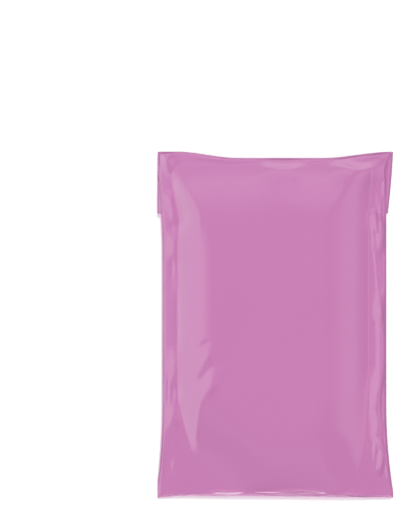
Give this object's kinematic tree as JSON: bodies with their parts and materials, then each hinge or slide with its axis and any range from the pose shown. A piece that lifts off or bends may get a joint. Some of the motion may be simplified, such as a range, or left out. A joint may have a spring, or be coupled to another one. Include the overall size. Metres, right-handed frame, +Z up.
{
  "type": "poly mailer bag",
  "caption": "Sealed pillow-shaped poly mailer of pink film, filled with soft goods, with a bottom fold, welded sides and a flap glued over the back.",
  "frame": {"origin": "on the surface that the bag lies on, under the middle of its outline", "axes": "+Y from the bottom fold to the closed top edge, +X to the right of the front panel, +Z up out of the front panel"},
  "size_m": [0.1524, 0.224, 0.021],
  "materials": {
    "pink_film": "smooth glossy co-extruded polyethylene film, opaque"
  },
  "bodies": {
    "root": {"mailer_bag": "pink_film"}
  },
  "joints": []
}
